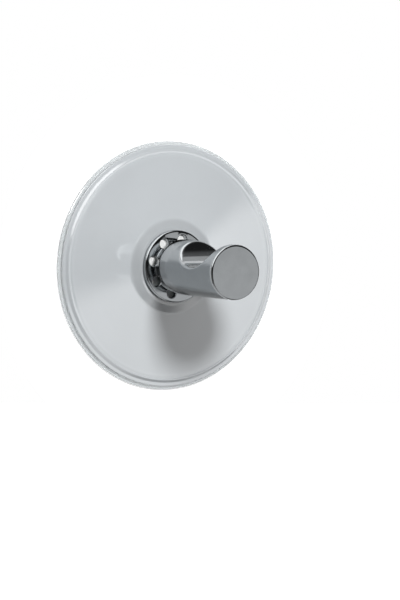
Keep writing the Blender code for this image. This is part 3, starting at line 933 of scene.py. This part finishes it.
class Finish(Graph):
    """A material in the making, whose patterns lie in metres on the piece."""

    def __init__(self, name, **values):
        old = bpy.data.materials.get(name)
        if old is not None:
            bpy.data.materials.remove(old)
        self.material = bpy.data.materials.new(name)
        self.material.use_nodes = True
        super().__init__(self.material.node_tree)
        self.shader = self.tree.nodes["Principled BSDF"]
        self.place = self.add("ShaderNodeTexCoord").outputs["Object"]
        for socket, value in values.items():
            self.shader.inputs[socket.replace("_", " ")].default_value = value

    def noise(self, place, detail):
        """Noise, one grain to a unit of the place."""
        node = self.add("ShaderNodeTexNoise", {"Vector": place, "Scale": 1.0, "Detail": detail})
        return node.outputs["Fac"]

    def grain(self, size):
        """Noise with grains of a size in metres."""
        place = self.add("ShaderNodeMapping", {"Vector": self.place, "Scale": [1.0 / size] * 3})
        return self.noise(place.outputs[0], GRAIN_DETAIL)

    def radius(self):
        """Distance from the hook's axis."""
        flat = self.add("ShaderNodeVectorMath", {0: self.place, 1: (1.0, 0.0, 1.0)}, operation="MULTIPLY")
        return self.add("ShaderNodeVectorMath", {0: flat.outputs[0]}, operation="LENGTH").outputs["Value"]

    def rings(self, size):
        """Fine rings round the axis, as a lathe leaves them."""
        height = self.add("ShaderNodeSeparateXYZ", {"Vector": self.place}).outputs["Y"]
        place = self.add(
            "ShaderNodeCombineXYZ",
            {
                "X": self.math("MULTIPLY", self.radius(), 1.0 / size),
                "Y": self.math("MULTIPLY", height, 1.0 / size),
            },
        )
        return self.noise(place.outputs[0], MARK_DETAIL)

    def spread(self, pattern, low=0.0, high=1.0):
        """A pattern stretched to run from low to high."""
        return self.ramp(pattern, *NOISE_SPAN, low, high)

    def colour(self, pattern, tint, darkest, lightest):
        """A base colour that a pattern moves between a darker and a lighter tone."""
        tones = [(*[min(1.0, part * tone) for part in tint], 1.0) for tone in (darkest, lightest)]
        self.link(self.blend(self.spread(pattern), *tones), self.shader.inputs["Base Color"])

    def roughness(self, pattern, least, most):
        """A roughness that a pattern moves between two values."""
        self.link(self.spread(pattern, least, most), self.shader.inputs["Roughness"])

    def bump(self, pattern, depth, strength):
        """Fine relief that follows a pattern, with its depth in metres."""
        bump = self.add("ShaderNodeBump", {"Height": pattern, "Distance": depth, "Strength": strength})
        self.link(bump.outputs["Normal"], self.shader.inputs["Normal"])


def soft_vinyl(cup):
    """Clear soft vinyl, with the faint cloud and orange peel of a moulding."""
    finish = Finish("soft_vinyl", Transmission_Weight=cup.clearness, IOR=1.5)
    cloud, peel = finish.grain(0.012), finish.grain(0.003)
    finish.colour(cloud, cup.tint, darkest=0.97, lightest=1.02)
    finish.roughness(peel, least=0.10, most=0.16)
    finish.bump(peel, depth=0.00002, strength=0.15)
    return finish.material


def hard_plastic(dish, at):
    """Milky clear plastic with a glossy skin. Its base colour holds painted shade, which darkens the boss
    where the plate and the hub lie behind it, and painted light, which lightens the rim over the soft seat."""
    finish = Finish(
        "hard_plastic", Transmission_Weight=dish.clearness, IOR=1.49, Coat_Weight=1.0, Coat_Roughness=0.06,
        Coat_IOR=2.2,
    )
    cloud = finish.spread(finish.grain(0.015), low=0.985, high=1.01)
    radius = finish.radius()
    # Painted shade darkens the boss and painted light lightens the rim, both multiplied into the base colour
    boss = finish.ramp(radius, at.boss_foot - PAINTED_SHADING_FADE, at.boss_foot + PAINTED_SHADING_EDGE, dish.boss_painted_shade, 1.0)
    rim = finish.ramp(radius, at.cone_edge - PAINTED_SHADING_FADE, at.cone_edge, 1.0, dish.rim_painted_light)
    tone = finish.math("MULTIPLY", finish.math("MULTIPLY", boss, rim), cloud)
    tinted = finish.add("ShaderNodeVectorMath", {0: dish.tint, "Scale": tone}, operation="SCALE")
    finish.link(tinted.outputs[0], finish.shader.inputs["Base Color"])
    skin = finish.grain(0.006)
    finish.roughness(skin, least=0.28, most=0.32)
    finish.bump(skin, depth=0.00001, strength=0.1)
    return finish.material


def polished_chrome(name, tint, roughness):
    """Polished chrome with a breath of haze and faint lathe marks."""
    finish = Finish(name, Metallic=1.0)
    marks = finish.rings(LATHE_MARK)
    haze = finish.math("ADD", finish.grain(0.004), finish.math("MULTIPLY", marks, MARK_SHARE))
    haze = finish.math("MULTIPLY", haze, 1.0 / (1.0 + MARK_SHARE))
    finish.colour(finish.grain(0.006), tint, darkest=0.97, lightest=1.02)
    finish.roughness(haze, least=roughness * 0.85, most=roughness * 1.25)
    finish.bump(marks, depth=0.000002, strength=0.05)
    return finish.material


def moulded_nylon():
    """Natural nylon: off-white, waxy and faintly grained."""
    finish = Finish(
        "moulded_nylon", Subsurface_Weight=0.4, Subsurface_Radius=(1.0, 1.0, 1.0), Subsurface_Scale=0.0015,
    )
    finish.colour(finish.grain(0.003), NYLON_TINT, darkest=0.97, lightest=1.02)
    finish.roughness(finish.grain(0.0008), least=0.38, most=0.5)
    finish.bump(finish.grain(0.0004), depth=0.00002, strength=0.3)
    return finish.material


def zinc_plate(name):
    """Zinc plate: grey with a faint yellow and blue cast, over lathe marks."""
    finish = Finish(name, Metallic=1.0)
    marks = finish.rings(PLATE_MARK)
    cast = finish.blend(finish.spread(finish.grain(0.002)), ZINC_YELLOW, ZINC_BLUE)
    finish.link(cast, finish.shader.inputs["Base Color"])
    finish.roughness(marks, least=0.25, most=0.42)
    finish.bump(marks, depth=0.00001, strength=0.3)
    return finish.material


def black_steel():
    """Blackened steel, worn a little lighter in patches."""
    finish = Finish("black_steel", Metallic=1.0)
    finish.colour(finish.grain(0.0012), BLACK_TINT, darkest=0.85, lightest=1.35)
    finish.roughness(finish.grain(0.0006), least=0.3, most=0.5)
    finish.bump(finish.grain(0.0003), depth=0.00001, strength=0.3)
    return finish.material


def backdrop_finish(name, grain, shown, mirrored, passed):
    """White paint, seen from the room only. Three levels make it as white as the background: straight on,
    mirrored in metal, and through clear plastic."""
    finish = Finish(name, Roughness=0.9)
    finish.colour(finish.grain(grain), PAINT_TINT, darkest=0.995, lightest=1.0)
    rays = finish.add("ShaderNodeLightPath").outputs
    levels = {"Is Camera Ray": shown, "Is Glossy Ray": mirrored, "Is Transmission Ray": passed}
    glow = 0.0
    for ray, level in levels.items():
        glow = finish.math("MAXIMUM", glow, finish.math("MULTIPLY", rays[ray], level))
    lamp = finish.add("ShaderNodeEmission", {"Strength": glow})
    lit = finish.add("ShaderNodeAddShader", {0: finish.shader.outputs[0], 1: lamp.outputs[0]})
    clear = finish.add("ShaderNodeBsdfTransparent")
    side = finish.add("ShaderNodeNewGeometry").outputs["Backfacing"]
    both = finish.add("ShaderNodeMixShader", {0: side, 1: lit.outputs[0], 2: clear.outputs[0]})
    finish.link(both.outputs[0], finish.tree.nodes["Material Output"].inputs["Surface"])
    return finish.material


def build_world(scene, stage):
    """White behind everything. Soft light falls on the pieces from the upper right, from the sides and from
    behind. What glossy pieces mirror is a tent: a bright panel low in front to the right, light from behind
    the wall, a pale ceiling with a lamp straight above, a softbox over the left shoulder, cards in front, on
    the left and underneath, and dark cloth between them."""
    world = bpy.data.worlds.new("studio")
    world.use_nodes = True
    world.cycles.sampling_method = "NONE"
    scene.world = world
    graph = Graph(world.node_tree)
    view = graph.add("ShaderNodeTexCoord").outputs["Generated"]
    parts = graph.add("ShaderNodeSeparateXYZ", {"Vector": view}).outputs
    across, back, up = parts["X"], parts["Y"], parts["Z"]

    def patch(direction, radius, softness, brightness):
        """A round patch of light in a direction."""
        towards = graph.add(
            "ShaderNodeVectorMath", {0: view, 1: Vector(direction).normalized()}, operation="DOT_PRODUCT"
        )
        edges = [math.cos(math.radians(radius + side * softness)) for side in (1, -1)]
        return graph.ramp(towards.outputs["Value"], *edges, 0.0, brightness)

    over_edge = graph.math("SUBTRACT", up, graph.math("MULTIPLY", across, PANEL_SLOPE))
    panel = graph.ramp(
        over_edge, PANEL_EDGE + PANEL_SOFTNESS, PANEL_EDGE - PANEL_SOFTNESS, 0.0, stage.panel
    )
    for along, edge in ((back, PANEL_FRONT), (across, PANEL_LEFT), (across, PANEL_RIGHT), (up, PANEL_FOOT)):
        panel = graph.math("MULTIPLY", panel, graph.ramp(along, *edge))
    behind = graph.math(
        "MULTIPLY", graph.ramp(back, *BEHIND_WALL, 0.0, stage.backlight), graph.ramp(across, *BEHIND_RIGHT)
    )
    tent = DARK_CLOTH
    for part in (panel, behind, graph.ramp(up, *CEILING, 0.0, CEILING_LEVEL)):
        tent = graph.math("MAXIMUM", tent, part)
    for name, place in TENT_PATCHES.items():
        tent = graph.math("MAXIMUM", tent, patch(*place, getattr(stage, name)))

    around = graph.ramp(back, *AROUND, 0.0, stage.ambient_beside)
    light = graph.math("ADD", around, patch(*FILL, stage.fill))
    rays = graph.add("ShaderNodeLightPath").outputs
    level = graph.blend(rays["Is Glossy Ray"], light, tent)
    seen = graph.math("MAXIMUM", rays["Is Camera Ray"], rays["Is Transmission Ray"])
    shown = graph.blend(seen, level, WHITE)
    graph.link(shown, world.node_tree.nodes["Background"].inputs["Color"])


def flat_disc(name, radius, finish):
    """A flat disc round the axis, facing into the room."""
    bm = bmesh.new()
    bmesh.ops.create_circle(bm, cap_ends=True, segments=HOLE_STEPS, radius=radius)
    item = new_piece(name, bm)
    item.data.materials.append(finish)
    return item


def add_backdrop(stage):
    """A round piece of wall behind the hook, and a floor under it. Neither lights the pieces, but metal
    mirrors the wall."""
    glow = stage.wall_glow
    paint = backdrop_finish("wall_paint", WALL_GRAIN, glow, glow, WALL_SEEN_THROUGH)
    wall = flat_disc("wall", stage.wall_radius, paint)
    wall.data.transform(Matrix.Translation((0.0, PIECE_GAP, 0.0)))
    wall.visible_shadow = False
    wall.visible_diffuse = False

    paint = backdrop_finish("floor_paint", FLOOR_GRAIN, 1.0, 0.0, 1.0)
    floor = flat_disc("floor", FLOOR_RADIUS, paint)
    floor.data.transform(
        Matrix.Translation((0.0, 0.0, -stage.floor_drop)) @ Matrix.Rotation(-math.pi / 2, 4, "X")
    )
    floor.visible_diffuse = False
    floor.visible_glossy = False


def add_key(scene, stage):
    """The small main light, close in front of the hook and above it, which doesn't fade with distance."""
    lamp = bpy.data.lights.new("key", "AREA")
    lamp.shape = "DISK"
    lamp.size = stage.key_size
    lamp.energy = stage.key_power
    lamp.use_nodes = True
    graph = Graph(lamp.node_tree)
    even = graph.add("ShaderNodeLightFalloff", {"Strength": 1.0})
    graph.link(even.outputs["Constant"], lamp.node_tree.nodes["Emission"].inputs["Strength"])
    key = bpy.data.objects.new("key", lamp)
    key.location = KEY_PLACE
    key.rotation_euler = Vector(KEY_PLACE).to_track_quat("Z", "Y").to_euler()
    key.visible_camera = False
    key.visible_glossy = False
    scene.collection.objects.link(key)


def add_camera(scene, stage):
    """A camera far off, which takes in the picture's height at the wall."""
    level = math.cos(stage.elevation)
    right, ahead = math.sin(stage.azimuth) * level, math.cos(stage.azimuth) * level
    outwards = Vector((right, -ahead, math.sin(stage.elevation)))
    camera = bpy.data.objects.new("camera", bpy.data.cameras.new("camera"))
    camera.data.lens = camera.data.sensor_width * stage.distance / stage.picture_height
    camera.data.clip_start = CLIP_START
    camera.location = Vector((stage.aim_across, 0.0, stage.aim_up)) + outwards * stage.distance
    camera.rotation_euler = outwards.to_track_quat("Z", "Y").to_euler()
    scene.collection.objects.link(camera)
    scene.camera = camera


class HOOK_OT_stage(bpy.types.Operator):
    """Set up the wall, the floor, the light and the camera"""

    bl_idname = "hook.build_stage"
    bl_label = "Wall, Light and Camera"
    bl_options = {"REGISTER", "UNDO"}

    def execute(self, context):
        scene = context.scene
        stage = scene.hook_stage
        scene.view_settings.view_transform = "Standard"
        build_world(scene, stage)
        add_backdrop(stage)
        add_key(scene, stage)
        add_camera(scene, stage)
        return {"FINISHED"}


SETTINGS = {
    "hook_cup": CupSettings,
    "hook_dish": DishSettings,
    "hook_nut": NutSettings,
    "hook_peg": PegSettings,
    "hook_hardware": HardwareSettings,
    "hook_stage": StageSettings,
}
OPERATORS = {
    HOOK_OT_stage: "hook_stage",
    HOOK_OT_cup: "hook_cup",
    HOOK_OT_dish: "hook_dish",
    HOOK_OT_hardware: "hook_hardware",
    HOOK_OT_nut: "hook_nut",
    HOOK_OT_peg: "hook_peg",
}


class HOOK_PT_sidebar(bpy.types.Panel):
    """Lists the hook's pieces with their settings"""

    bl_idname = "HOOK_PT_sidebar"
    bl_label = "Suction Hook"
    bl_space_type = "VIEW_3D"
    bl_region_type = "UI"
    bl_category = "Hook"

    def draw(self, context):
        for operator, name in OPERATORS.items():
            box = self.layout.box()
            box.operator(operator.bl_idname)
            for key in SETTINGS[name].__annotations__:
                box.prop(getattr(context.scene, name), key)


def register():
    for name, group in SETTINGS.items():
        bpy.utils.register_class(group)
        setattr(bpy.types.Scene, name, bpy.props.PointerProperty(type=group))
    for operator in OPERATORS:
        bpy.utils.register_class(operator)
    bpy.utils.register_class(HOOK_PT_sidebar)


def unregister():
    bpy.utils.unregister_class(HOOK_PT_sidebar)
    for operator in OPERATORS:
        bpy.utils.unregister_class(operator)
    for name, group in SETTINGS.items():
        delattr(bpy.types.Scene, name)
        bpy.utils.unregister_class(group)


def main():
    register()
    bpy.ops.hook.build_stage()
    bpy.ops.hook.build_cup()
    bpy.ops.hook.build_dish()
    bpy.ops.hook.build_hardware()
    bpy.ops.hook.build_nut()
    bpy.ops.hook.build_peg()


if __name__ == "__main__":
    main()
